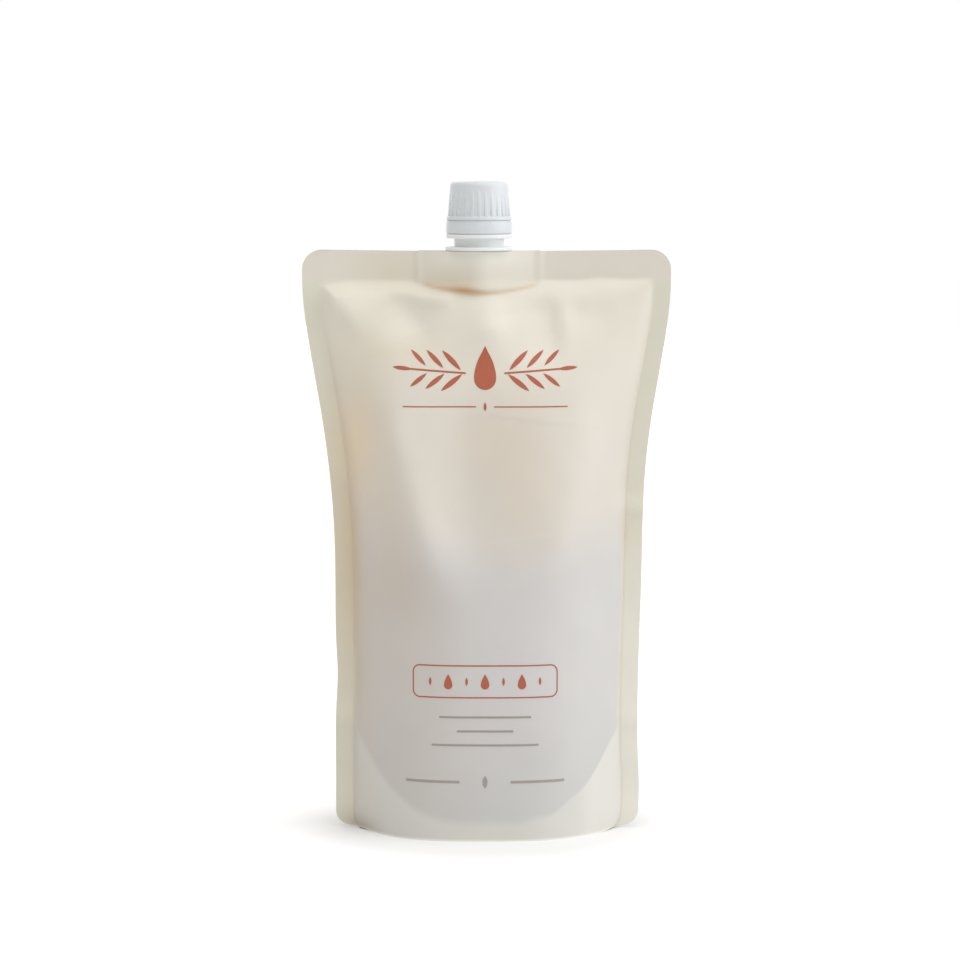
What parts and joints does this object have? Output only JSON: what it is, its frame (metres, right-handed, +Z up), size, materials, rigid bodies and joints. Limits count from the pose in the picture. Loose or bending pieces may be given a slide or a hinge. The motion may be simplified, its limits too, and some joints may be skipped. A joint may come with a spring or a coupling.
{
  "type": "hand soap refill pack",
  "caption": "Full stand-up film pouch with a round-sealed bottom gusset, sealed edges, and a moulded pouring spout closed by a ribbed screw cap over a tamper band.",
  "frame": {"origin": "on the floor under the middle of the pouch's outline", "axes": "+Z up through the pouch, -Y out of the printed front panel, +X to the right as seen from the front"},
  "size_m": [0.145, 0.0645, 0.2568],
  "materials": {
    "film": "satin cream laminate film",
    "spout_plastic": "moulded white, satin",
    "cap_plastic": "moulded white, half gloss",
    "liner_foam": "white foam sheet"
  },
  "bodies": {
    "pack": {"pouch": "film", "spout": "spout_plastic", "tamper_band": "cap_plastic"},
    "cap_seal": {"cap_liner": "liner_foam"},
    "cap": {"screw_cap": "cap_plastic"}
  },
  "joints": [
    {"name": "cap_lift", "type": "slide", "parent": "pack", "child": "cap_seal", "axis": [0, 0, 1], "range_m": [0, 0.018]},
    {"name": "cap_turn", "type": "hinge", "parent": "cap_seal", "child": "cap", "pos_m": [-0.0029, 0, 0.2418], "axis": [0, 0, 1], "range_deg": [0, 2160]}
  ],
  "couplings": [
    {"joint": "cap_turn", "follows": "cap_lift", "rad_per_m": 2094.4}
  ]
}
